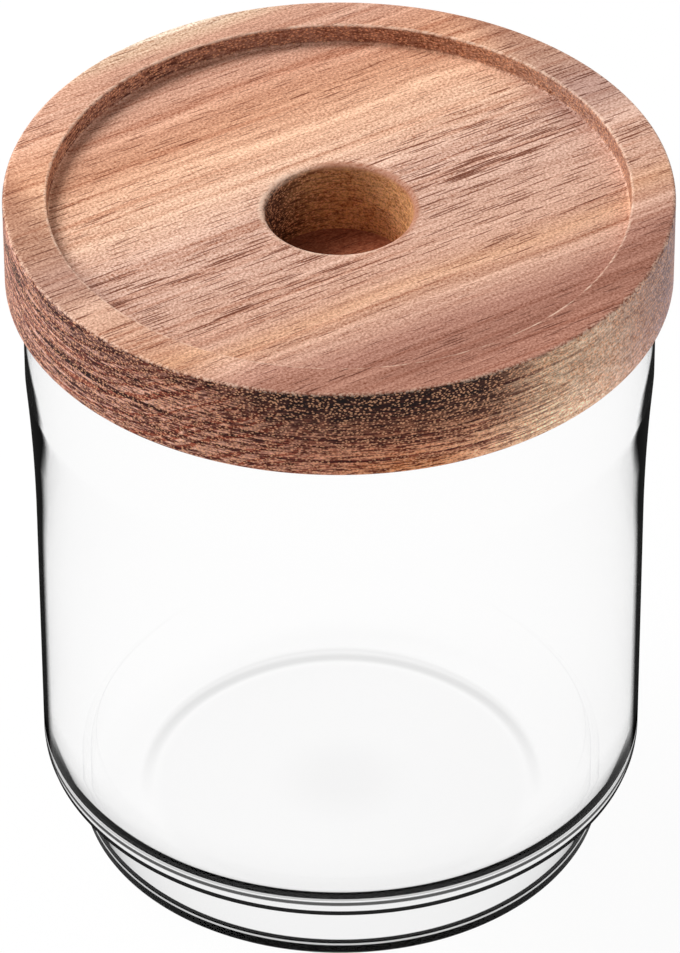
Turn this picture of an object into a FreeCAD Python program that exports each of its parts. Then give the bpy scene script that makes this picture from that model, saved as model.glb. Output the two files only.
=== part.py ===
import FreeCAD, Part
import math
import os

# A round glass keeper with a wooden lid. Millimetres, +Z up.
# The origin is the centre of the foot, on the surface that the jar stands on.

# Jar, outside
BODY_RADIUS = 46.45
NECK_SWELL = 1.05             # how far the neck stands out beyond the body
JAR_HEIGHT = 100.3
NECK_LENGTH = 16.7            # straight neck, from the rim down
NECK_BLEND = 27.4             # height over which the neck eases into the body
NECK_PULL = 1.5               # handle of that easing curve at the neck
BODY_PULL = 16.0              # handle of that easing curve at the body
SHOULDER_ROUND = 3.2          # radius of the body's lower corner
SHOULDER_SLOPE = 6.0          # slope of the shoulder's underside, in degrees
SHOULDER_REACH = 6.85         # how far the shoulder draws in from the body
CREASE_ROUND = 0.35           # radius at the bottom of the crease

# Foot
FOOT_HEIGHT = 9.6             # top of the foot's straight wall
FOOT_SWELL = 1.0              # how far the foot stands out from the crease above it
CREASE_STEP = 1.2             # height from the foot's straight wall up to the crease
FOOT_EDGE = 0.9
STANDING_WIDTH = 4.8          # width of the flat ring that the jar stands on
PUSH_UP = 0.8                 # height of the step inside the standing ring
PUSH_UP_WIDTH = 2.4           # width of that step
DOME_RISE = 0.7               # further rise of the base to its centre

# Glass thickness
BODY_WALL = 1.2
NECK_WALL = 1.0
CREASE_WALL = 1.3
CREASE_RISE = 3.4             # how much higher the inner crease lies than the outer one
INNER_CREASE_ROUND = 0.7
INNER_SHOULDER_ROUND = 3.7    # radius of the body's lower corner inside
FOOT_WALL = 1.3
BASE_WALL = 1.5
INNER_NECK_LENGTH = 17.2      # straight inside of the neck, from the rim down
INNER_FOOT_ROUND = 1.4        # inside corner between the foot's wall and the floor

# Lid
LID_OVERHANG = 2.5            # how far the board stands out beyond the neck
BOARD_THICKNESS = 14.8
BOARD_EDGE = 0.6
SEAT_GAP = 0.1                # between the glass rim and the board
STACKING_PLAY = 2.8           # room round another keeper's foot in the recess
RECESS_DEPTH = 3.2
RECESS_EDGE = 0.4
RECESS_CORNER = 0.5
HOLE_RADIUS = 11.0
HOLE_EDGE = 1.0

# Plug and seal
PLUG_CLEARANCE = 1.3          # between the plug and the inside of the neck
PLUG_THICKNESS = 3.4
PLUG_EDGE = 0.4
GROOVE_HEIGHT = 1.6
GROOVE_DEPTH = 1.8
GROOVE_DROP = 0.8             # from the board down to the groove
SEAL_FIT = 0.05               # between the seal and each side of its groove
SEAL_CLEARANCE = 0.15         # between the seal's lip and the glass
SEAL_LIP = 0.6                # thickness of the lip at its tip
SEAL_LIP_RISE = 0.2           # how far the lip's tip stands above the groove's lower side

# Sizes that follow from those above
neck_radius = BODY_RADIUS + NECK_SWELL
mouth_radius = neck_radius - NECK_WALL
inner_radius = BODY_RADIUS - BODY_WALL
crease_radius = BODY_RADIUS - SHOULDER_REACH
crease_z = FOOT_HEIGHT + CREASE_STEP
foot_radius = crease_radius + FOOT_SWELL
foot_inner_radius = foot_radius - FOOT_WALL
inner_crease_radius = crease_radius - CREASE_WALL
inner_crease_z = crease_z + CREASE_RISE
neck_z = JAR_HEIGHT - NECK_LENGTH
inner_neck_z = JAR_HEIGHT - INNER_NECK_LENGTH
dome_top_z = PUSH_UP + DOME_RISE

lid_z = JAR_HEIGHT + SEAT_GAP
lid_top_z = lid_z + BOARD_THICKNESS
recess_z = lid_top_z - RECESS_DEPTH
lid_radius = neck_radius + LID_OVERHANG
recess_radius = foot_radius + STACKING_PLAY
plug_radius = mouth_radius - PLUG_CLEARANCE
plug_z = lid_z - PLUG_THICKNESS
groove_top_z = lid_z - GROOVE_DROP
groove_z = groove_top_z - GROOVE_HEIGHT
groove_radius = plug_radius - GROOVE_DEPTH


def at(radius, z):
    return FreeCAD.Vector(radius, 0, z)


def polar(centre, radius, degrees):
    angle = math.radians(degrees)
    return at(centre.x + radius * math.cos(angle), centre.z + radius * math.sin(angle))


def line(start, end):
    return Part.LineSegment(start, end).toShape()


def arc(centre, radius, start_deg, end_deg):
    start = polar(centre, radius, start_deg)
    middle = polar(centre, radius, (start_deg + end_deg) / 2)
    end = polar(centre, radius, end_deg)
    return Part.Arc(start, middle, end).toShape()


def curve(*poles):
    bezier = Part.BezierCurve()
    bezier.setPoles(list(poles))
    return bezier.toShape()


def chain(steps):
    # Joins edges end to end, with a straight line wherever two of them don't meet.
    edges = []
    for step in steps:
        if edges:
            gap_start = edges[-1].lastVertex(True).Point
            gap_end = step.firstVertex(True).Point
            if gap_start.distanceToPoint(gap_end) > 1e-6:
                edges.append(line(gap_start, gap_end))
        edges.append(step)
    return edges


def turned(edges):
    # Closes the outline and turns it about the vertical axis.
    start = edges[0].firstVertex(True).Point
    end = edges[-1].lastVertex(True).Point
    if start.distanceToPoint(end) > 1e-6:
        edges = edges + [line(end, start)]
    face = Part.Face(Part.Wire(edges))
    return face.revolve(FreeCAD.Vector(0, 0, 0), FreeCAD.Vector(0, 0, 1), 360)


def corner_cut(before, corner, after, rounding):
    # Where a rounding of this radius starts, passes and ends at a corner.
    to_before = (before - corner).normalize()
    to_after = (after - corner).normalize()
    half_turn = to_before.getAngle(to_after) / 2
    reach = rounding / math.tan(half_turn)
    centre = corner + (to_before + to_after).normalize() * (rounding / math.sin(half_turn))
    middle = centre + (corner - centre).normalize() * rounding if rounding else corner
    return corner + to_before * reach, middle, corner + to_after * reach


def rounded(corners):
    # A closed outline through corners given as (radius, z, rounding).
    points = [at(radius, z) for radius, z, _ in corners]
    cuts = []
    for i, (_, _, rounding) in enumerate(corners):
        cuts.append(corner_cut(points[i - 1], points[i], points[(i + 1) % len(points)], rounding))
    edges = []
    for i, (start, middle, end) in enumerate(cuts):
        if start != end:
            edges.append(Part.Arc(start, middle, end).toShape())
        edges.append(line(end, cuts[(i + 1) % len(cuts)][0]))
    return edges


def base_underside():
    # From the axis out over the dome and the step to the standing ring.
    ring_inner = foot_radius - FOOT_EDGE - STANDING_WIDTH
    step_inner = ring_inner - PUSH_UP_WIDTH
    step_middle = (ring_inner + step_inner) / 2
    dome = curve(at(0, dome_top_z), at(step_inner / 2, dome_top_z), at(step_inner, PUSH_UP))
    step = curve(at(step_inner, PUSH_UP), at(step_middle, PUSH_UP), at(step_middle, 0), at(ring_inner, 0))
    return [dome, step]


def shoulder_arc(crease_end, side_radius, rounding, start_deg, end_deg):
    # The corner between the shoulder's slope, which starts at the crease, and the body's side.
    slope = math.radians(SHOULDER_SLOPE)
    centre_radius = side_radius - rounding
    slope_z = crease_end.z + (centre_radius - crease_end.x) * math.tan(slope)
    return arc(at(centre_radius, slope_z + rounding / math.cos(slope)), rounding, start_deg, end_deg)


def jar_outside():
    # From the axis under the base, out and up to the rim.
    foot_corner = at(foot_radius - FOOT_EDGE, FOOT_EDGE)
    crease_centre = at(crease_radius + CREASE_ROUND, crease_z)
    crease_low = polar(crease_centre, CREASE_ROUND, -90)
    crease_high = polar(crease_centre, CREASE_ROUND, 90 + SHOULDER_SLOPE)
    foot_top = curve(at(foot_radius, FOOT_HEIGHT), at(foot_radius, (FOOT_HEIGHT + crease_low.z) / 2),
                     at((foot_radius + crease_low.x) / 2, crease_low.z), crease_low)
    crease = arc(crease_centre, CREASE_ROUND, -90, -270 + SHOULDER_SLOPE)
    shoulder = shoulder_arc(crease_high, BODY_RADIUS, SHOULDER_ROUND, SHOULDER_SLOPE - 90, 0)
    blend_z = neck_z - NECK_BLEND
    neck = curve(at(BODY_RADIUS, blend_z), at(BODY_RADIUS, blend_z + BODY_PULL),
                 at(neck_radius, neck_z - NECK_PULL), at(neck_radius, neck_z))
    return base_underside() + [arc(foot_corner, FOOT_EDGE, -90, 0), foot_top, crease, shoulder, neck]


def jar_inside():
    # From the rim down to the floor and in to the axis.
    blend_z = inner_neck_z - NECK_BLEND
    neck = curve(at(mouth_radius, inner_neck_z), at(mouth_radius, inner_neck_z - NECK_PULL),
                 at(inner_radius, blend_z + BODY_PULL), at(inner_radius, blend_z))
    ridge_centre = at(inner_crease_radius + INNER_CREASE_ROUND, inner_crease_z - INNER_CREASE_ROUND)
    ridge_high = polar(ridge_centre, INNER_CREASE_ROUND, 90 + SHOULDER_SLOPE)
    ridge_low = polar(ridge_centre, INNER_CREASE_ROUND, 180)
    shoulder = shoulder_arc(ridge_high, inner_radius, INNER_SHOULDER_ROUND, 0, SHOULDER_SLOPE - 90)
    ridge = arc(ridge_centre, INNER_CREASE_ROUND, 90 + SHOULDER_SLOPE, 180)
    middle_z = (ridge_low.z + FOOT_HEIGHT) / 2
    foot_top = curve(ridge_low, at(inner_crease_radius, middle_z),
                     at(foot_inner_radius, middle_z), at(foot_inner_radius, FOOT_HEIGHT))
    floor_corner = at(foot_inner_radius - INNER_FOOT_ROUND, BASE_WALL + INNER_FOOT_ROUND)
    floor_round = arc(floor_corner, INNER_FOOT_ROUND, 0, -90)
    floor_top_z = dome_top_z + BASE_WALL
    floor = curve(at(floor_corner.x, BASE_WALL), at(floor_corner.x / 2, floor_top_z), at(0, floor_top_z))
    return [neck, shoulder, ridge, foot_top, floor_round, floor]


def glass_jar():
    rim_centre = at((neck_radius + mouth_radius) / 2, JAR_HEIGHT - NECK_WALL / 2)
    rim = arc(rim_centre, NECK_WALL / 2, 0, 180)
    return turned(chain(jar_outside() + [rim] + jar_inside()))


def lid_board():
    return turned(rounded([
        (HOLE_RADIUS, lid_z, 0),
        (lid_radius, lid_z, BOARD_EDGE),
        (lid_radius, lid_top_z, BOARD_EDGE),
        (recess_radius, lid_top_z, RECESS_EDGE),
        (recess_radius, recess_z, RECESS_CORNER),
        (HOLE_RADIUS, recess_z, HOLE_EDGE),
    ]))


def lid_plug():
    return turned(rounded([
        (0, plug_z, 0),
        (plug_radius, plug_z, PLUG_EDGE),
        (plug_radius, groove_z, 0),
        (groove_radius, groove_z, 0),
        (groove_radius, groove_top_z, 0),
        (plug_radius, groove_top_z, 0),
        (plug_radius, lid_z, 0),
        (0, lid_z, 0),
    ]))


def seal_ring():
    lip_radius = mouth_radius - SEAL_CLEARANCE
    low = groove_z + SEAL_FIT
    high = groove_top_z - SEAL_FIT
    tip_z = groove_z + SEAL_LIP_RISE
    return turned(rounded([
        (groove_radius + SEAL_FIT, low, 0),
        (plug_radius, low, 0),
        (lip_radius, tip_z, 0),
        (lip_radius, tip_z + SEAL_LIP, 0),
        (plug_radius, high, 0),
        (groove_radius + SEAL_FIT, high, 0),
    ]))


pieces = {
    "glass_jar": glass_jar(),
    "lid_board": lid_board(),
    "lid_plug": lid_plug(),
    "seal_ring": seal_ring(),
}

os.makedirs("parts", exist_ok=True)
for name, shape in pieces.items():
    shape.exportStep("parts/" + name + ".step")
    print(name, shape.isValid(), len(shape.Solids), round(shape.Volume, 1), shape.BoundBox)
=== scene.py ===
import math

import bpy
import numpy as np
from mathutils import Matrix, Vector


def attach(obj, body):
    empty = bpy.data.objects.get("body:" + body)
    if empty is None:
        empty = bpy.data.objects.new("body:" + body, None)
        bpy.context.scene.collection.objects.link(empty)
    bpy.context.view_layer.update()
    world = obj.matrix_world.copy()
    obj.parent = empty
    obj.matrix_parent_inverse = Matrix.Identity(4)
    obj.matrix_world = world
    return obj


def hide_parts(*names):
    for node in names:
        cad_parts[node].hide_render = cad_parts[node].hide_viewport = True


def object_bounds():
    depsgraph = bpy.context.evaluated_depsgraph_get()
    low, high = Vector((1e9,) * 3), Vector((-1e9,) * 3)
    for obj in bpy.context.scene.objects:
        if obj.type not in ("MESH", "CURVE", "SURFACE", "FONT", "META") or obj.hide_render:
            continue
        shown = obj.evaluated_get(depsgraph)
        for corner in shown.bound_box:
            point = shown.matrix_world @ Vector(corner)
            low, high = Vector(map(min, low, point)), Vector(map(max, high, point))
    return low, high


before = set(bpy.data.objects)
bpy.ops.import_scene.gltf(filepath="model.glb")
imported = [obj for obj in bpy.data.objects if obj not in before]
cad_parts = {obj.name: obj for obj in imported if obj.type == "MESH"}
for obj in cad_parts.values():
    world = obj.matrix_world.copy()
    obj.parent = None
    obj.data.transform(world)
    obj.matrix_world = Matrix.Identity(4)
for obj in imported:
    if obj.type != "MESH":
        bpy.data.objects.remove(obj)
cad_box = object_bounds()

MM = 0.001

# Camera: a long lens that looks down at the jar from the front
IMAGE_LONG_SIDE = 953          # pixels of the picture's height
FOCAL_PIXELS = 7500.0
SENSOR = 36.0
CAMERA_ELEVATION = 37.898      # degrees
CAMERA_ROLL = 0.2055           # degrees
CAMERA_DISTANCE = 1145.76 * MM
LOOK_BELOW_TOP = 53.666 * MM   # height of the picture's centre, below the lid's top

# Jar, outside, in mm as all sizes below
BODY_RADIUS = 46.45
NECK_SWELL = 1.05
JAR_HEIGHT = 100.3
NECK_LENGTH = 16.7
NECK_BLEND = 27.4
NECK_PULL = 1.5
BODY_PULL = 16.0
SHOULDER_ROUND = 3.2
SHOULDER_SLOPE = 6.0           # degrees
SHOULDER_REACH = 6.85
CREASE_ROUND = 0.35

# Foot
FOOT_HEIGHT = 9.6
FOOT_SWELL = 1.0
CREASE_STEP = 1.2
FOOT_EDGE = 0.9
STANDING_WIDTH = 4.8
PUSH_UP = 0.8
PUSH_UP_WIDTH = 2.4
DOME_RISE = 0.7

# Glass thickness
BODY_WALL = 1.2
NECK_WALL = 1.0
INNER_NECK_LENGTH = 17.2
INNER_SHOULDER_ROUND = 3.7
CREASE_WALL = 1.3
CREASE_RISE = 3.4
INNER_CREASE_ROUND = 0.7
FOOT_WALL = 1.3
BASE_WALL = 1.5
INNER_FOOT_ROUND = 1.4

# Lid
LID_OVERHANG = 2.5
BOARD_THICKNESS = 14.8
BOARD_EDGE = 0.6
SEAT_GAP = 0.1
STACKING_PLAY = 2.8
RECESS_DEPTH = 3.2
RECESS_EDGE = 0.4
RECESS_CORNER = 0.5
HOLE_RADIUS = 11.0
HOLE_EDGE = 1.0

# Plug and seal
PLUG_CLEARANCE = 1.3
PLUG_THICKNESS = 3.4
PLUG_EDGE = 0.4
GROOVE_HEIGHT = 1.6
GROOVE_DEPTH = 1.8
GROOVE_DROP = 0.8
SEAL_FIT = 0.05
SEAL_CLEARANCE = 0.15
SEAL_LIP = 0.6
SEAL_LIP_RISE = 0.2

# How finely the turned pieces are cut
SIDES = 360
CURVE_STEPS = 20
ARC_STEP = 12.0                # degrees
LONGEST_STEP = 3.0             # along straight stretches
SAME_POINT = 1e-6              # points nearer than this count as one
SHARP_ANGLE = 40.0             # degrees: a sharper fold keeps its edge

# Sizes that follow from those above
neck_radius = BODY_RADIUS + NECK_SWELL
mouth_radius = neck_radius - NECK_WALL
inner_radius = BODY_RADIUS - BODY_WALL
crease_radius = BODY_RADIUS - SHOULDER_REACH
crease_z = FOOT_HEIGHT + CREASE_STEP
foot_radius = crease_radius + FOOT_SWELL
foot_inner_radius = foot_radius - FOOT_WALL
inner_crease_radius = crease_radius - CREASE_WALL
inner_crease_z = crease_z + CREASE_RISE
neck_z = JAR_HEIGHT - NECK_LENGTH
inner_neck_z = JAR_HEIGHT - INNER_NECK_LENGTH
dome_top_z = PUSH_UP + DOME_RISE
lid_z = JAR_HEIGHT + SEAT_GAP
lid_top = lid_z + BOARD_THICKNESS
lid_radius = neck_radius + LID_OVERHANG
recess_z = lid_top - RECESS_DEPTH
recess_radius = foot_radius + STACKING_PLAY
plug_radius = mouth_radius - PLUG_CLEARANCE
plug_z = lid_z - PLUG_THICKNESS
groove_top_z = lid_z - GROOVE_DROP
groove_z = groove_top_z - GROOVE_HEIGHT
groove_radius = plug_radius - GROOVE_DEPTH


# Outlines: lists of (radius, z) points

def straight(start, end):
    count = max(1, round(math.dist(start, end) / LONGEST_STEP))
    return [(start[0] + (end[0] - start[0]) * i / count, start[1] + (end[1] - start[1]) * i / count)
            for i in range(1, count + 1)]


def polar(centre, radius, degrees):
    angle = math.radians(degrees)
    return centre[0] + radius * math.cos(angle), centre[1] + radius * math.sin(angle)


def arc(centre, radius, start, end):
    count = max(2, math.ceil(abs(end - start) / ARC_STEP))
    return [polar(centre, radius, start + (end - start) * i / count) for i in range(count + 1)]


def curve(poles):
    # A Bezier curve through any number of poles.
    points = []
    for i in range(CURVE_STEPS + 1):
        t = i / CURVE_STEPS
        level = list(poles)
        while len(level) > 1:
            level = [(a[0] + (b[0] - a[0]) * t, a[1] + (b[1] - a[1]) * t) for a, b in zip(level, level[1:])]
        points.append(level[0])
    return points


def chain(stretches):
    # Joins stretches, and divides the straight gaps between them.
    points = []
    for stretch in stretches:
        if points and math.dist(points[-1], stretch[0]) > SAME_POINT:
            points += straight(points[-1], stretch[0])
        points += [p for p in stretch if not points or math.dist(points[-1], p) > SAME_POINT]
    return points


def rounded(corners):
    # Straight lines between (radius, z, rounding) corners, each corner with its own round.
    stretches = []
    for i, (r, z, size) in enumerate(corners):
        if not size:
            stretches.append([(r, z)])
            continue
        here = Vector((r, z))
        before = (Vector(corners[i - 1][:2]) - here).normalized()
        after = (Vector(corners[(i + 1) % len(corners)][:2]) - here).normalized()
        centre = here + (before + after) * size
        first = math.degrees(math.atan2(-after.y, -after.x))
        last = math.degrees(math.atan2(-before.y, -before.x))
        turn = (last - first + 180) % 360 - 180
        stretches.append(arc(centre, size, first, first + turn))
    return chain(stretches)


def shoulder_arc(crease_end, side_radius, rounding, start, end):
    slope = math.radians(SHOULDER_SLOPE)
    centre_radius = side_radius - rounding
    slope_z = crease_end[1] + (centre_radius - crease_end[0]) * math.tan(slope)
    return arc((centre_radius, slope_z + rounding / math.cos(slope)), rounding, start, end)


def base_underside():
    # From the axis out over the dome and the step to the standing ring.
    ring_inner = foot_radius - FOOT_EDGE - STANDING_WIDTH
    step_inner = ring_inner - PUSH_UP_WIDTH
    middle = (ring_inner + step_inner) / 2
    dome = curve([(0, dome_top_z), (step_inner / 2, dome_top_z), (step_inner, PUSH_UP)])
    step = curve([(step_inner, PUSH_UP), (middle, PUSH_UP), (middle, 0), (ring_inner, 0)])
    return [dome, step]


def jar_outside():
    # From the axis under the base, out and up to the rim.
    crease_centre = (crease_radius + CREASE_ROUND, crease_z)
    crease_low = polar(crease_centre, CREASE_ROUND, -90)
    crease_high = polar(crease_centre, CREASE_ROUND, 90 + SHOULDER_SLOPE)
    blend_z = neck_z - NECK_BLEND
    return [
        *base_underside(),
        arc((foot_radius - FOOT_EDGE, FOOT_EDGE), FOOT_EDGE, -90, 0),
        curve([(foot_radius, FOOT_HEIGHT), (foot_radius, (FOOT_HEIGHT + crease_low[1]) / 2),
               ((foot_radius + crease_low[0]) / 2, crease_low[1]), crease_low]),
        arc(crease_centre, CREASE_ROUND, -90, -270 + SHOULDER_SLOPE),
        shoulder_arc(crease_high, BODY_RADIUS, SHOULDER_ROUND, SHOULDER_SLOPE - 90, 0),
        curve([(BODY_RADIUS, blend_z), (BODY_RADIUS, blend_z + BODY_PULL),
               (neck_radius, neck_z - NECK_PULL), (neck_radius, neck_z)]),
    ]


def jar_inside():
    # From the rim down to the floor, and in to the axis.
    blend_z = inner_neck_z - NECK_BLEND
    ridge_centre = (inner_crease_radius + INNER_CREASE_ROUND, inner_crease_z - INNER_CREASE_ROUND)
    ridge_high = polar(ridge_centre, INNER_CREASE_ROUND, 90 + SHOULDER_SLOPE)
    ridge_low = polar(ridge_centre, INNER_CREASE_ROUND, 180)
    middle_z = (ridge_low[1] + FOOT_HEIGHT) / 2
    floor_edge = foot_inner_radius - INNER_FOOT_ROUND
    floor_top_z = dome_top_z + BASE_WALL
    return [
        curve([(mouth_radius, inner_neck_z), (mouth_radius, inner_neck_z - NECK_PULL),
               (inner_radius, blend_z + BODY_PULL), (inner_radius, blend_z)]),
        shoulder_arc(ridge_high, inner_radius, INNER_SHOULDER_ROUND, 0, SHOULDER_SLOPE - 90),
        arc(ridge_centre, INNER_CREASE_ROUND, 90 + SHOULDER_SLOPE, 180),
        curve([ridge_low, (inner_crease_radius, middle_z),
               (foot_inner_radius, middle_z), (foot_inner_radius, FOOT_HEIGHT)]),
        arc((floor_edge, BASE_WALL + INNER_FOOT_ROUND), INNER_FOOT_ROUND, 0, -90),
        curve([(floor_edge, BASE_WALL), (floor_edge / 2, floor_top_z), (0, floor_top_z)]),
    ]


def jar_outline():
    rim = arc(((neck_radius + mouth_radius) / 2, JAR_HEIGHT - NECK_WALL / 2), NECK_WALL / 2, 0, 180)
    return chain(jar_outside() + [rim] + jar_inside())


def board_outline():
    return rounded([
        (HOLE_RADIUS, lid_z, 0),
        (lid_radius, lid_z, BOARD_EDGE),
        (lid_radius, lid_top, BOARD_EDGE),
        (recess_radius, lid_top, RECESS_EDGE),
        (recess_radius, recess_z, RECESS_CORNER),
        (HOLE_RADIUS, recess_z, HOLE_EDGE),
    ])


def plug_outline():
    return rounded([
        (0, plug_z, 0),
        (plug_radius, plug_z, PLUG_EDGE),
        (plug_radius, groove_z, 0),
        (groove_radius, groove_z, 0),
        (groove_radius, groove_top_z, 0),
        (plug_radius, groove_top_z, 0),
        (plug_radius, lid_z, 0),
        (0, lid_z, 0),
    ])


def seal_outline():
    lip_radius = mouth_radius - SEAL_CLEARANCE
    tip_z = groove_z + SEAL_LIP_RISE
    return [
        (groove_radius + SEAL_FIT, groove_z + SEAL_FIT),
        (plug_radius, groove_z + SEAL_FIT),
        (lip_radius, tip_z),
        (lip_radius, tip_z + SEAL_LIP),
        (plug_radius, groove_top_z - SEAL_FIT),
        (groove_radius + SEAL_FIT, groove_top_z - SEAL_FIT),
    ]


# Meshes

def turned(name, outline, closed):
    # Turns an outline about the z axis. Its ends lie on the axis, unless it is closed.
    points = np.array(outline) * MM
    angles = np.linspace(0, 2 * math.pi, SIDES, endpoint=False)
    rings = points if closed else points[1:-1]
    count = len(rings)
    grid = np.stack([np.outer(rings[:, 0], np.cos(angles)), np.outer(rings[:, 0], np.sin(angles)),
                     np.repeat(rings[:, 1:], SIDES, axis=1)], axis=-1).reshape(-1, 3)
    vertices = [tuple(v) for v in grid]
    faces = []
    for i in range(count if closed else count - 1):
        a, b = i * SIDES, (i + 1) % count * SIDES
        faces += [(a + j, a + (j + 1) % SIDES, b + (j + 1) % SIDES, b + j) for j in range(SIDES)]
    if not closed:
        low, high, end = len(vertices), len(vertices) + 1, (count - 1) * SIDES
        vertices += [(0, 0, points[0][1]), (0, 0, points[-1][1])]
        faces += [(low, (j + 1) % SIDES, j) for j in range(SIDES)]
        faces += [(high, end + j, end + (j + 1) % SIDES) for j in range(SIDES)]
    mesh = bpy.data.meshes.new(name)
    mesh.from_pydata(vertices, [], faces)
    mesh.polygons.foreach_set("use_smooth", [True] * len(faces))
    mesh.set_sharp_from_angle(angle=math.radians(SHARP_ANGLE))
    piece = bpy.data.objects.new(name, mesh)
    bpy.context.scene.collection.objects.link(piece)
    return piece


def dress(piece, material):
    piece.data.materials.clear()
    piece.data.materials.append(material)


# Materials: a small helper that writes node trees

NOISE_ROUGHNESS = 0.6


class Shader:
    def __init__(self, owner, output="ShaderNodeOutputMaterial"):
        owner.use_nodes = True
        self.owner = owner
        self.tree = owner.node_tree
        self.tree.nodes.clear()
        self.output = self.add(output)

    def add(self, kind, inputs=None, **settings):
        node = self.tree.nodes.new(kind)
        for key, value in settings.items():
            setattr(node, key, value)
        for key, value in (inputs or {}).items():
            self.put(value, node.inputs[key])
        return node

    def put(self, value, socket):
        if isinstance(value, bpy.types.NodeSocket):
            self.tree.links.new(value, socket)
        else:
            socket.default_value = value

    def math(self, operation, *values):
        node = self.add("ShaderNodeMath", operation=operation)
        for value, socket in zip(values, node.inputs):
            self.put(value, socket)
        return node.outputs[0]

    def product(self, first, *others):
        for other in others:
            first = self.math("MULTIPLY", first, other)
        return first

    def apart(self, value, other):
        return self.math("ABSOLUTE", self.math("SUBTRACT", value, other))

    def vector(self, operation, a, b=None, scale=None):
        node = self.add("ShaderNodeVectorMath", {0: a}, operation=operation)
        if b is not None:
            self.put(b, node.inputs[1])
        if scale is not None:
            self.put(scale, node.inputs["Scale"])
        return node.outputs["Value" if operation in ("DOT_PRODUCT", "LENGTH") else "Vector"]

    def ramp(self, fac, stops):
        node = self.add("ShaderNodeValToRGB", {0: fac})
        elements = node.color_ramp.elements
        while len(elements) < len(stops):
            elements.new(0.5)
        for element, (position, colour) in zip(elements, stops):
            element.position = position
            element.color = colour
        return node.outputs[0]

    def smooth(self, value, low, high, first=0.0, last=1.0):
        # first up to low, last from high on, smooth between.
        return self.add("ShaderNodeMapRange", {0: value, 1: low, 2: high, 3: first, 4: last},
                        interpolation_type="SMOOTHSTEP").outputs[0]

    def step(self, value, low, high):
        # 0 at low, 1 at high, smooth between. With low above high it falls.
        if low > high:
            return self.math("SUBTRACT", 1.0, self.step(value, high, low))
        return self.smooth(value, low, high)

    def noise(self, spot, detail):
        return self.add("ShaderNodeTexNoise", {"Vector": spot, "Scale": 1.0, "Detail": detail,
                                               "Roughness": NOISE_ROUGHNESS}).outputs[0]

    def cells(self, spot):
        # Distance to the nearest of many scattered points, about one to each unit of space.
        return self.add("ShaderNodeTexVoronoi", {"Vector": spot, "Scale": 1.0}).outputs["Distance"]

    def noise_line(self, spot, detail):
        node = self.add("ShaderNodeTexNoise", noise_dimensions="1D")
        for key, value in (("W", spot), ("Scale", 1.0), ("Detail", detail)):
            self.put(value, node.inputs[key])
        return node.outputs[0]

    def swing(self, value, amount):
        # From half of amount below zero to half of it above.
        return self.math("MULTIPLY_ADD", value, amount, -amount / 2)

    def mix(self, fac, a, b):
        return self.add("ShaderNodeMix", {0: fac, 6: a, 7: b}, data_type="RGBA").outputs[2]

    def shade(self, colour, fac, tint):
        return self.mix(fac, colour, self.vector("MULTIPLY", colour, tint))

    def mix_shader(self, fac, a, b):
        return self.add("ShaderNodeMixShader", {0: fac, 1: a, 2: b}).outputs[0]

    def finish(self, surface):
        self.put(surface, self.output.inputs["Surface"])
        return self.owner


def srgb(red, green, blue):
    # A colour as seen on a screen, 0 to 255, as linear light.
    values = [c / 255 for c in (red, green, blue)]
    return (*[c / 12.92 if c <= 0.04045 else ((c + 0.055) / 1.055) ** 2.4 for c in values], 1)


def grey(value):
    return (value, value, value, 1)


# Wood: u runs along the grain, c across it, h is the height over the board's top, all in mm
GRAIN_ANGLE = 32.0             # degrees, seen from above
PITH_ABOVE = 29.0              # height of the tree's heart above the board
PITH_SIDE = -2.0
BAND_SPAN = 104.0              # the width that a ramp of colours covers


def bands(*stops):
    # Colour stops for a ramp, each at its place in mm from the lid's centre.
    return [(place / BAND_SPAN + 0.5, srgb(*colour)) for place, colour in stops]


# Bands of colour: across the grain on the faces, along it on the board's side
BOARD_TONES = bands(
    (-50, (178, 124, 104)), (-42, (158, 108, 90)), (-38, (158, 108, 90)), (-32, (174, 124, 106)),
    (-27, (206, 160, 138)), (-22, (206, 155, 124)), (-18, (208, 162, 139)), (-6, (210, 168, 148)),
    (4, (219, 178, 158)), (12, (228, 183, 155)), (20, (222, 171, 140)), (27, (204, 148, 117)),
    (34, (206, 152, 125)), (40, (200, 151, 128)), (45, (198, 148, 124)), (48, (214, 178, 150)),
    (50, (236, 212, 188)))
SIDE_TONES = bands(
    (-50, (204, 158, 142)), (-47, (212, 160, 140)), (-43, (232, 176, 150)), (-34, (216, 152, 126)),
    (-18, (206, 134, 100)), (-6, (222, 168, 134)), (4, (240, 206, 172)), (14, (222, 188, 162)),
    (24, (178, 142, 128)), (34, (138, 112, 112)), (50, (150, 120, 120)))
PLUG_TONES = bands((-40, (146, 84, 60)), (-10, (160, 94, 66)), (20, (150, 86, 60)), (45, (168, 106, 78)))
BAND_WARP = 0.55               # how far the bands follow the rings' wander
SIDE_WARP = 0.6

# Colours that cover, and tints that multiply the colour below them
# Near-black on the upper front of the side: dark heartwood, partly painted shade
HEARTWOOD_AND_SHADE = srgb(54, 8, 12)
AMBER = srgb(206, 128, 62)
# Pale specks on the upright sides: painted glints of rough fibres
FIBRE_GLINT = srgb(246, 182, 140)
# The hole's wall: golden on its lit right side, with painted shade in the dark colour on its left
HOLE_WALL = srgb(224, 164, 108)
HOLE_WALL_PAINTED_SHADE = srgb(84, 50, 38)
HOLE_LIP = srgb(172, 112, 84)
# Pale eased edges: wear and a painted highlight line
WORN_AND_HIGHLIGHT = srgb(240, 208, 184)
PALE_GAIN = 1.5
END_TINT = (0.62, 0.56, 0.57)
RIM_LEFT_TINT = (0.97, 0.92, 0.85)
RIM_FRONT_TINT = (1.14, 1.18, 1.18)
TOP_BAND_TINT = (0.22, 0.10, 0.10)
LAYER_TINT = (0.22, 0.10, 0.10)
SEAM_TINT = (0.34, 0.20, 0.20)
LOOP_TINT = (0.56, 0.26, 0.20)
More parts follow.
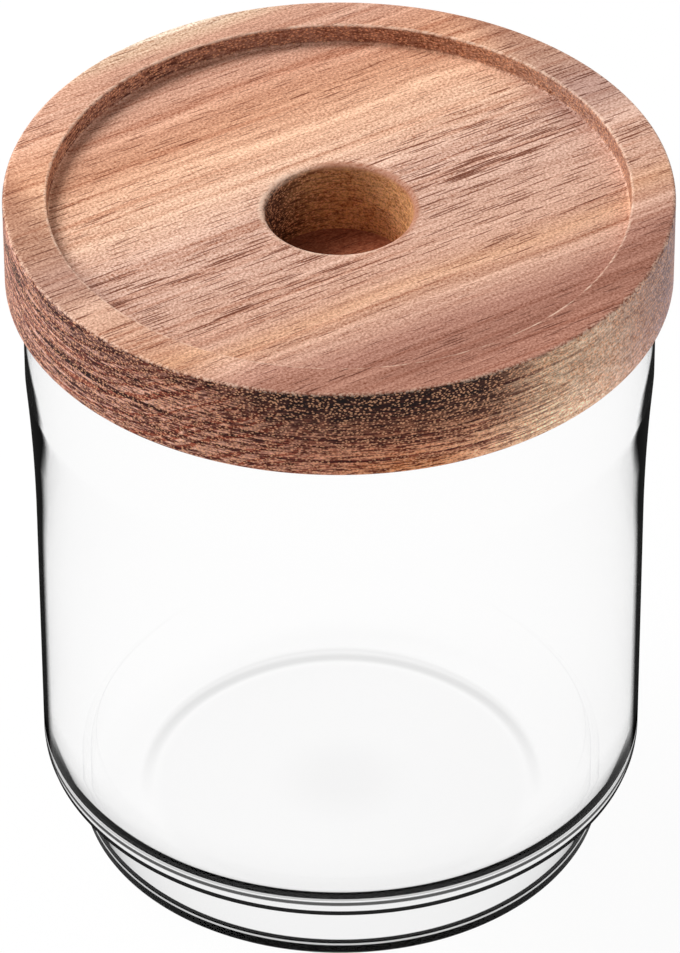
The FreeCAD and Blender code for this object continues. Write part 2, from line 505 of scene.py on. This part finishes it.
# Darker inner upright walls: rough cut wood and painted shade in the recess
INNER_WALL_CUT_AND_SHADE = (0.66, 0.58, 0.56)
STREAK_TINT = (0.86, 0.70, 0.62)
PORE_TINT = (0.26, 0.12, 0.07)
GRIT_TINT = (0.20, 0.09, 0.08)
# Painted shadow on the left of the plug's top, down in the hole
HOLE_FLOOR_SHADOW_TINT = (0.55, 0.50, 0.48)
SWELL_TINT = (0.8, 1.1, 1.25)  # how strongly red, green and blue rise and fall with the grain

# Noise: waves per mm along u, c and h, then detail, then a shift of its own
WANDER = (0.011, 0.03, 0.03, 2.0, 3.1)
TREMBLE = (0.035, 0.12, 0.12, 3.0, 7.7)
STREAK = (0.014, 0.8, 0.8, 5.0, 1.3)
THREAD = (0.05, 2.6, 2.6, 3.0, 5.9)
SPECK = (2.4, 2.8, 2.8, 2.0, 2.2)
LAYER = (0.012, 0.03, 1.1, 4.0, 9.2)
SEAM_WAVE = (0.02, 0.02, 0.1, 3.0, 4.9)
PORE_REACH = (0.03, 0.12, 0.12, 2.0, 4.4)
GRIT = (0.4, 0.7, 3.2, 4.0, 6.1)
# Scattered points: how many per mm along u, c and h, then a shift
PORES = (0.11, 2.9, 2.9, 8.4)
GRAINS = (1.9, 2.1, 3.0, 6.1)
# Noise along the rings' radius: waves per mm, shift, detail
BROAD_RINGS = (0.35, 0.0, 2.0)
FINE_RINGS = (1.0, 40.0, 3.0)

# How far each pattern swings, in mm or as a share of the colour
WANDER_SWING = 14.0
TREMBLE_SWING = 5.0
LOW_SWING = 8.0
SEAM_SWING = 2.4
BROAD_SWELL = 0.36
SWELLS = (0.55, 0.85, 0.90, 2.5)   # of the fine rings, streaks, threads and specks

SEAMS = ((4.2, 0.30), (8.2, 0.45), (9.4, 0.25), (11.8, 0.35))   # depth below the top, half width
THIN_LAYER = 0.54              # the value at which a layer shows as a thin line
THIN_LAYER_BLUR = (0.03, 0.008)
DARK_LAYER = (0.44, 0.39)
UPRIGHT_LEVEL = (0.8, 0.4)     # of the normal's rise, from a face to an upright side
PORES_LEAST = 0.18             # how crowded the pores are on the board, outside their middle zone
PLUG_PORES = 0.2
PORE_CONTRAST = 2.4
PORE_CUT = -0.2
PORE_BLUR = 0.03
PORE_AMOUNT = 0.95
GRIT_LEAST = 0.4
WORN_HIGHLIGHT_RING = 0.2                # from the recess's radius out to the middle of its worn edge, with its painted highlight

# Zones of the wood: an amount, then limits, each with what it measures, where it begins and where it is full
ZONES = {
    "ends": (1.0, ("span", 37.0, 44.0), ("c", -8.0, 3.0)),
    "rim": (1.0, ("radius", recess_radius - 0.2, recess_radius + 0.2), ("h", -1.0, -0.4)),
    "rim_left": (1.0, ("u", -36.0, -44.0)),
    "rim_front": (1.0, ("u", -42.0, -36.0), ("u", -12.0, -22.0)),
    "side": (1.0, ("radius", 46.0, 48.0)),
    "pale": (1.0, ("u", -40.0, -10.0), ("low", -5.0, -15.0)),
    "amber": (0.5, ("u", -30.0, -20.0), ("u", -4.0, -14.0), ("low", -10.0, -14.0)),
    "heart_and_shade": (0.92, ("u", -42.0, -32.0), ("u", 4.0, -8.0), ("c", -24.0, -32.0), ("low", -12.0, -2.0)),
    "top_band": (0.75, ("u", 8.0, -8.0), ("c", 12.0, 0.0), ("low", -3.4, -1.6)),
    "layers": (1.0, ("u", 22.0, -6.0)),
    "seams": (1.0, ("u", 10.0, -8.0)),
    "loops": (1.0, ("fine", 0.52, 0.42), ("u", -22.0, -36.0)),
    "hole": (1.0, ("radius", 14.0, 12.0)),
    "hole_light": (1.0, ("u", -7.0, 8.0)),
    "hole_floor_shadow": (1.0, ("u", 6.0, -9.0)),
    "crowded": (0.11, ("c", -24.0, -14.0), ("c", 16.0, 4.0)),
    "streaks": (0.6, ("streak", 0.48, 0.34)),
    "rough": (0.6, ("u", 12.0, -10.0)),
    "dark_grit": (1.0, ("grit", 0.52, 0.40)),
    "fibre_glint": (0.75, ("grain", 0.46, 0.26), ("grit", 0.30, 0.48)),
    "outer_edge": (0.5, ("radius", 49.3, 49.8), ("h", -0.6, -0.2), ("speck", 0.46, 0.56)),
    "recess_edge": (0.65, ("beside", 0.35, 0.12), ("h", -0.5, -0.1), ("thread", 0.32, 0.58)),
    "mouth": (1.0, ("radius", 12.4, 11.6), ("h", -4.4, -3.6)),
    "mouth_back": (0.7, ("u", 0.0, 5.0)),
    "mouth_front": (0.7, ("u", 3.0, -4.0)),
    "worn_and_highlight": (1.0, ("grit", 0.34, 0.60)),
}

# The wood's gloss and relief
WOOD_GLOSS = 0.15
WOOD_ROUGHNESS = 0.5
WOOD_ROUGHNESS_SWING = 0.2
WOOD_RELIEF = 0.08 * MM
WOOD_RELIEF_STRENGTH = 0.5
THREAD_RELIEF = 0.5
SPECK_RELIEF = 0.4


def wood(name, tones, seed, board):
    s = Shader(bpy.data.materials.new(name))
    coords = s.add("ShaderNodeTexCoord")
    place = s.vector("SCALE", coords.outputs["Object"], scale=1 / MM)
    turn = math.radians(GRAIN_ANGLE)
    u = s.vector("DOT_PRODUCT", place, (math.cos(turn), math.sin(turn), 0))
    c = s.vector("DOT_PRODUCT", place, (-math.sin(turn), math.cos(turn), 0))
    h = s.math("SUBTRACT", s.vector("DOT_PRODUCT", place, (0, 0, 1)), lid_top)
    radius = s.vector("LENGTH", s.vector("MULTIPLY", place, (1, 1, 0)))
    rise = s.math("ABSOLUTE", s.vector("DOT_PRODUCT", coords.outputs["Normal"], (0, 0, 1)))
    upright = s.step(rise, *UPRIGHT_LEVEL)
    flat = s.math("SUBTRACT", 1.0, upright)

    def spot(per_u, per_c, per_h, shift):
        return s.add("ShaderNodeCombineXYZ", {
            0: s.math("MULTIPLY_ADD", u, per_u, seed + shift),
            1: s.math("MULTIPLY", c, per_c),
            2: s.math("MULTIPLY", h, per_h)}).outputs[0]

    def field(per_u, per_c, per_h, detail, shift):
        return s.noise(spot(per_u, per_c, per_h, shift), detail)

    # growth rings round a heart that lies above the board
    warp = s.math("ADD", s.swing(field(*WANDER), WANDER_SWING), s.swing(field(*TREMBLE), TREMBLE_SWING))
    aside = s.math("ADD", s.math("SUBTRACT", c, PITH_SIDE), warp)
    above = s.math("SUBTRACT", h, PITH_ABOVE)
    ring = s.math("SQRT", s.math("ADD", s.product(aside, aside), s.product(above, above)))

    def rings(per_mm, shift, detail):
        return s.noise_line(s.math("MULTIPLY_ADD", ring, per_mm, seed + shift), detail)

    def tone(along, amount, stops):
        warped = s.math("MULTIPLY_ADD", warp, amount, along)
        return s.ramp(s.math("MULTIPLY_ADD", warped, 1 / BAND_SPAN, 0.5), stops)

    broad = rings(*BROAD_RINGS)
    fine = rings(*FINE_RINGS)
    streak = field(*STREAK)
    thread = field(*THREAD)
    speck = field(*SPECK)
    grit = field(*GRIT)
    measures = {
        "u": u, "c": c, "h": h, "radius": radius, "span": s.math("ABSOLUTE", u),
        "low": s.math("ADD", h, s.swing(streak, LOW_SWING)),
        "beside": s.apart(radius, recess_radius + WORN_HIGHLIGHT_RING),
        "fine": fine, "streak": streak, "thread": thread, "speck": speck, "grit": grit,
        "grain": s.cells(spot(*GRAINS))}

    def zone(name, *factors):
        amount, *limits = ZONES[name]
        return s.product(*[s.step(measures[key], low, high) for key, low, high in limits], *factors, amount)

    colour = tone(c, BAND_WARP, tones)
    crowded = PLUG_PORES
    if board:
        colour = s.shade(colour, zone("ends", flat), END_TINT)
        rim = zone("rim", flat)
        colour = s.shade(colour, zone("rim_left", rim), RIM_LEFT_TINT)
        colour = s.shade(colour, zone("rim_front", rim), RIM_FRONT_TINT)
        side = zone("side", upright)
        colour = s.mix(side, colour, tone(u, SIDE_WARP, SIDE_TONES))
        colour = s.mix(zone("pale", side), colour, s.vector("SCALE", colour, scale=PALE_GAIN))
        colour = s.mix(zone("amber", side), colour, AMBER)
        # near-black on the side's upper front: dark heartwood, partly painted shade
        colour = s.mix(zone("heart_and_shade", side), colour, HEARTWOOD_AND_SHADE)
        # darker along the top of the side's front
        colour = s.shade(colour, zone("top_band", side), TOP_BAND_TINT)
        # layers and seams run level round the side, and rings loop at its left end
        layer = field(*LAYER)
        thin = s.step(s.apart(layer, THIN_LAYER), *THIN_LAYER_BLUR)
        line = s.math("MAXIMUM", s.step(layer, *DARK_LAYER), thin)
        colour = s.shade(colour, zone("layers", side, line), LAYER_TINT)
        wave = s.math("ADD", h, s.swing(field(*SEAM_WAVE), SEAM_SWING))
        for depth, half in SEAMS:
            seam = s.step(s.apart(wave, -depth), half, half / 3)
            colour = s.shade(colour, zone("seams", side, seam), SEAM_TINT)
        colour = s.shade(colour, zone("loops", side), LOOP_TINT)
        # the recess's upright wall is darker: rough cut wood and painted shade
        inner = s.product(upright, s.math("SUBTRACT", 1.0, side))
        colour = s.shade(colour, inner, INNER_WALL_CUT_AND_SHADE)
        # the hole's wall: painted shade on its left, golden on its lit right
        hole_wall = s.mix(zone("hole_light"), HOLE_WALL_PAINTED_SHADE, HOLE_WALL)
        colour = s.mix(zone("hole", upright), colour, hole_wall)
        crowded = s.math("ADD", zone("crowded"), PORES_LEAST)

    # the grain makes every colour rise and fall
    swell = s.swing(broad, BROAD_SWELL)
    for part, amount in zip((fine, streak, thread, speck), SWELLS):
        swell = s.math("ADD", swell, s.swing(part, amount))
    tint = s.vector("ADD", s.vector("SCALE", SWELL_TINT, scale=swell), (1, 1, 1))
    colour = s.vector("MULTIPLY", colour, tint)
    colour = s.shade(colour, zone("streaks"), STREAK_TINT)

    # pores: dark dashes on the faces; dark grit and pale specks, painted glints of rough fibres, on the
    # upright sides
    reach = s.product(crowded, s.math("MULTIPLY_ADD", field(*PORE_REACH), PORE_CONTRAST, PORE_CUT))
    pore = s.step(s.math("SUBTRACT", reach, s.cells(spot(*PORES))), -PORE_BLUR, PORE_BLUR)
    colour = s.shade(colour, s.product(pore, flat, PORE_AMOUNT), PORE_TINT)
    rough = s.math("ADD", zone("rough"), GRIT_LEAST)
    colour = s.shade(colour, zone("dark_grit", upright, rough), GRIT_TINT)
    # pale specks: painted glints of rough fibres
    colour = s.mix(zone("fibre_glint", upright), colour, FIBRE_GLINT)
    if board:
        # the eased edges are worn pale and carry a painted highlight line, and the hole's back edge is brown
        mouth = zone("mouth")
        colour = s.mix(zone("mouth_back", mouth), colour, HOLE_LIP)
        edges = s.math("MAXIMUM", zone("outer_edge"), zone("recess_edge"))
        edges = s.math("MAXIMUM", edges, zone("mouth_front", mouth))
        colour = s.mix(zone("worn_and_highlight", edges), colour, WORN_AND_HIGHLIGHT)
    else:
        # painted shadow on the left of the plug's top, seen down the hole
        colour = s.shade(colour, zone("hole_floor_shadow"), HOLE_FLOOR_SHADOW_TINT)

    relief = s.math("MULTIPLY_ADD", thread, THREAD_RELIEF, s.product(speck, SPECK_RELIEF))
    bump = s.add("ShaderNodeBump", {"Strength": WOOD_RELIEF_STRENGTH, "Distance": WOOD_RELIEF,
                                    "Height": s.math("SUBTRACT", relief, pore)})
    bsdf = s.add("ShaderNodeBsdfPrincipled", {
        "Base Color": colour,
        "Roughness": s.math("MULTIPLY_ADD", streak, WOOD_ROUGHNESS_SWING, WOOD_ROUGHNESS),
        "Specular IOR Level": WOOD_GLOSS, "Normal": bump.outputs[0]})
    return s.finish(bsdf.outputs[0])


# Silicone: a faint cloud in colour, roughness and relief
SILICONE_TONES = (srgb(226, 228, 228), srgb(240, 240, 238))
SILICONE_ROUGHNESS = 0.35
SILICONE_ROUGHNESS_SWING = 0.15
SILICONE_RELIEF = 0.05 * MM
SILICONE_RELIEF_STRENGTH = 0.2
SILICONE_DETAIL = 3.0


def silicone():
    s = Shader(bpy.data.materials.new("seal_silicone"))
    place = s.vector("SCALE", s.add("ShaderNodeTexCoord").outputs["Object"], scale=1 / MM)
    cloud = s.noise(place, SILICONE_DETAIL)
    bump = s.add("ShaderNodeBump", {"Strength": SILICONE_RELIEF_STRENGTH, "Distance": SILICONE_RELIEF,
                                    "Height": cloud})
    bsdf = s.add("ShaderNodeBsdfPrincipled", {
        "Base Color": s.mix(cloud, *SILICONE_TONES),
        "Roughness": s.math("MULTIPLY_ADD", cloud, SILICONE_ROUGHNESS_SWING, SILICONE_ROUGHNESS),
        "Normal": bump.outputs[0]})
    return s.finish(bsdf.outputs[0])


# Glass. Facing is 1 where a surface looks straight at the eye and 0 at its outline.
# Heights and radii are in mm.
GLASS_IOR = 1.5
# The wall turns dark where its facing is under the value for its height
EDGE_HEIGHTS = (
    (0, 0.18), (crease_z - 0.1, 0.18), (crease_z, 0.64), (14.0, 0.64), (15, 0.18), (60, 0.19), (66, 0.20),
    (73, 0.20), (77, 0.225), (81, 0.25), (85, 0.26), (88, 0.235), (92, 0.14), (JAR_HEIGHT, 0.14))
EDGE_BLUR = 0.06
EDGE_SHADE = 0.02
# Thin level lines on the outside: height, half width and least radius
GLINTS = ((2.2, 0.24, 40.0), (16.25, 0.28, 45.9))
DARK_LINES = ((15.45, 0.45, 45.9),)
GLINT_TONE = 0.6
DARK_LINE_TONE = 0.12
# What a surface mirrors of its white surroundings, and the heights between which that changes
OUTER_LOW_MIRROR = 0.2
OUTER_FADE = (18.5, 22.0)
INNER_LOW_MIRROR = 0.02
INNER_HIGH_MIRROR = 0.7
INNER_FADE = (19.0, 26.0)
# What the far side lets through, by its facing
FAR_DEPTH = 1.5                # surfaces passed: the near wall has two
FAR_TONES = ((0.0, (0.90, 0.90, 0.91, 1)), (0.12, grey(0.98)), (0.3, grey(1)))
# The underside: a soft dark ring that fades toward the front, a greyer base, and a spot in its middle
UNDERSIDE = (2.2, 1.8)
RING_RADIUS = 30.6
RING_WIDTH = (1.4, 0.2)
RING_FADE = (-8.0, 26.0)
RING_SHADE = 0.80
BASE_FADE = 3.0
BASE_SHADE = 0.97
HEEL_RADII = (13.0, 2.0)
HEEL_SHADE = 0.93
LAMP_SHADE = 0.93              # what lamp light and soft light keep at each surface


def clear_glass():
    s = Shader(bpy.data.materials.new("clear_glass"))
    place = s.vector("SCALE", s.add("ShaderNodeTexCoord").outputs["Object"], scale=1 / MM)
    split = s.add("ShaderNodeSeparateXYZ", {0: place}).outputs
    height = split["Z"]
    radius = s.vector("LENGTH", s.vector("MULTIPLY", place, (1, 1, 0)))
    away = s.add("ShaderNodeLayerWeight").outputs["Facing"]
    facing = s.math("SUBTRACT", 1.0, away)
    inside = s.add("ShaderNodeNewGeometry").outputs["Backfacing"]
    path = s.add("ShaderNodeLightPath").outputs

    def level_lines(lines):
        found = 0.0
        for level, half, least_radius in lines:
            line = s.step(s.apart(height, level), half, half / 2)
            line = s.product(line, s.math("GREATER_THAN", radius, least_radius))
            found = s.math("MAXIMUM", found, line)
        return s.product(found, s.math("SUBTRACT", 1.0, inside))

    # near side: it bends and mirrors light, and is dark at its edges
    edge = s.ramp(s.math("DIVIDE", height, JAR_HEIGHT),
                  [(z / JAR_HEIGHT, grey(value)) for z, value in EDGE_HEIGHTS])
    clear = s.smooth(facing, s.math("SUBTRACT", edge, EDGE_BLUR), edge, first=EDGE_SHADE)
    tint = s.mix(s.math("MAXIMUM", clear, inside), grey(0), grey(1))
    tint = s.mix(level_lines(DARK_LINES), tint, grey(DARK_LINE_TONE))
    outer_mirror = s.mix(s.step(height, *OUTER_FADE), s.vector("SCALE", tint, scale=OUTER_LOW_MIRROR), tint)
    inner_mirror = s.mix(s.step(height, *INNER_FADE), grey(INNER_LOW_MIRROR), grey(INNER_HIGH_MIRROR))
    mirror_tint = s.mix(inside, outer_mirror, inner_mirror)
    bends = s.add("ShaderNodeBsdfRefraction", {"Color": tint, "Roughness": 0.0, "IOR": GLASS_IOR})
    mirrors = s.add("ShaderNodeBsdfGlossy", {"Color": mirror_tint, "Roughness": 0.0})
    fresnel = s.add("ShaderNodeFresnel", {"IOR": GLASS_IOR})
    near = s.mix_shader(fresnel.outputs[0], bends.outputs[0], mirrors.outputs[0])
    glint = s.add("ShaderNodeBsdfGlossy", {"Color": grey(GLINT_TONE), "Roughness": 0.0})
    near = s.mix_shader(level_lines(GLINTS), near, glint.outputs[0])

    # far side: it only tints the light
    under = s.step(height, *UNDERSIDE)
    base = s.product(under, s.step(radius, RING_RADIUS, RING_RADIUS - BASE_FADE))
    ring = s.product(under, s.step(s.apart(radius, RING_RADIUS), *RING_WIDTH), s.step(split["Y"], *RING_FADE))
    heel = s.product(under, s.step(radius, *HEEL_RADII))
    beyond = s.ramp(facing, FAR_TONES)
    for amount, shade in ((base, BASE_SHADE), (ring, RING_SHADE), (heel, HEEL_SHADE)):
        beyond = s.mix(amount, beyond, grey(shade))
    far = s.add("ShaderNodeBsdfTransparent", {"Color": beyond})
    glass = s.mix_shader(s.math("GREATER_THAN", path["Transmission Depth"], FAR_DEPTH), near, far.outputs[0])

    # lamps and soft light pass straight through
    lamp_light = s.add("ShaderNodeBsdfTransparent", {"Color": grey(LAMP_SHADE)})
    passes = s.math("MAXIMUM", path["Is Shadow Ray"], path["Is Diffuse Ray"])
    return s.finish(s.mix_shader(passes, glass, lamp_light.outputs[0]))


# The object's pieces
BOARD_SEED = 11.0
PLUG_SEED = 57.0


def add_piece(name, outline, closed, material, node, body):
    piece = turned(name, outline, closed)
    dress(piece, material)
    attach(piece, body)
    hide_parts(node)


board_wood = wood("board_wood", BOARD_TONES, BOARD_SEED, True)
plug_wood = wood("plug_wood", PLUG_TONES, PLUG_SEED, False)
add_piece("jar_glass", jar_outline(), False, clear_glass(), "glass_jar", "jar")
add_piece("board", board_outline(), True, board_wood, "lid_board", "lid")
add_piece("plug", plug_outline(), False, plug_wood, "lid_plug", "lid")
add_piece("seal", seal_outline(), True, silicone(), "seal_ring", "lid")


# Floor and background: white to the camera, through glass and in reflections
FLOOR_HALF = 3.0
FLOOR_DROP = 0.2 * MM
FLOOR_GLOW = 0.94              # the rest of the floor takes the lamps' light and the shadow
FLOOR_TONE = 0.95
SKY_LIGHT = 0.30
# Lamps: name, place, width and height in metres, power in watts
LAMPS = (
    ("key", (-0.58, 0.34, 0.88), (0.5, 0.5), 10.5),
    ("left", (-0.9, -0.1, 0.3), (0.3, 0.6), 2.0),
    ("right", (0.9, -0.1, 0.3), (0.3, 0.6), 2.2))


def seen_rays(shader):
    path = shader.add("ShaderNodeLightPath").outputs
    seen = shader.math("MAXIMUM", path["Is Camera Ray"], path["Is Glossy Ray"])
    return shader.math("MAXIMUM", seen, path["Is Transmission Ray"])


def add_floor():
    s = Shader(bpy.data.materials.new("floor_white"))
    diffuse = s.add("ShaderNodeBsdfDiffuse", {"Color": grey(FLOOR_TONE)})
    glow = s.add("ShaderNodeEmission", {"Color": grey(1), "Strength": 1.0})
    both = s.mix_shader(s.product(seen_rays(s), FLOOR_GLOW), diffuse.outputs[0], glow.outputs[0])
    corners = [(x * FLOOR_HALF, y * FLOOR_HALF, -FLOOR_DROP) for x, y in ((-1, -1), (1, -1), (1, 1), (-1, 1))]
    mesh = bpy.data.meshes.new("floor")
    mesh.from_pydata(corners, [], [(0, 1, 2, 3)])
    floor = bpy.data.objects.new("floor", mesh)
    bpy.context.scene.collection.objects.link(floor)
    dress(floor, s.finish(both))


def add_world():
    s = Shader(bpy.data.worlds.new("studio"), "ShaderNodeOutputWorld")
    strength = s.add("ShaderNodeMapRange", {0: seen_rays(s), 3: SKY_LIGHT, 4: 1.0})
    sky = s.add("ShaderNodeBackground", {"Color": grey(1), "Strength": strength.outputs[0]})
    bpy.context.scene.world = s.finish(sky.outputs[0])


def area_light(name, position, size, power):
    data = bpy.data.lights.new(name, "AREA")
    data.shape = "RECTANGLE"
    data.size, data.size_y = size
    data.energy = power
    lamp = bpy.data.objects.new(name, data)
    lamp.location = position
    aim = Vector((0, 0, lid_top * MM)) - lamp.location
    lamp.rotation_euler = aim.to_track_quat("-Z", "Y").to_euler()
    bpy.context.scene.collection.objects.link(lamp)


def add_camera():
    target = Vector((0, 0, cad_box[1][2] - LOOK_BELOW_TOP))
    tilt = math.radians(CAMERA_ELEVATION)
    roll = math.radians(CAMERA_ROLL)
    back = Vector((0, -math.cos(tilt), math.sin(tilt)))
    right = Vector((1, 0, 0))
    up = Vector((0, math.sin(tilt), math.cos(tilt)))
    turned_right = right * math.cos(roll) - up * math.sin(roll)
    turned_up = right * math.sin(roll) + up * math.cos(roll)
    data = bpy.data.cameras.new("camera")
    data.sensor_fit = "AUTO"
    data.sensor_width = SENSOR
    data.lens = FOCAL_PIXELS / IMAGE_LONG_SIDE * SENSOR
    camera = bpy.data.objects.new("camera", data)
    matrix = Matrix((turned_right, turned_up, back)).transposed().to_4x4()
    matrix.translation = target + back * CAMERA_DISTANCE
    camera.matrix_world = matrix
    bpy.context.scene.collection.objects.link(camera)
    bpy.context.scene.camera = camera


add_floor()
add_world()
for lamp in LAMPS:
    area_light(*lamp)
add_camera()
bpy.context.scene.view_settings.view_transform = "Standard"
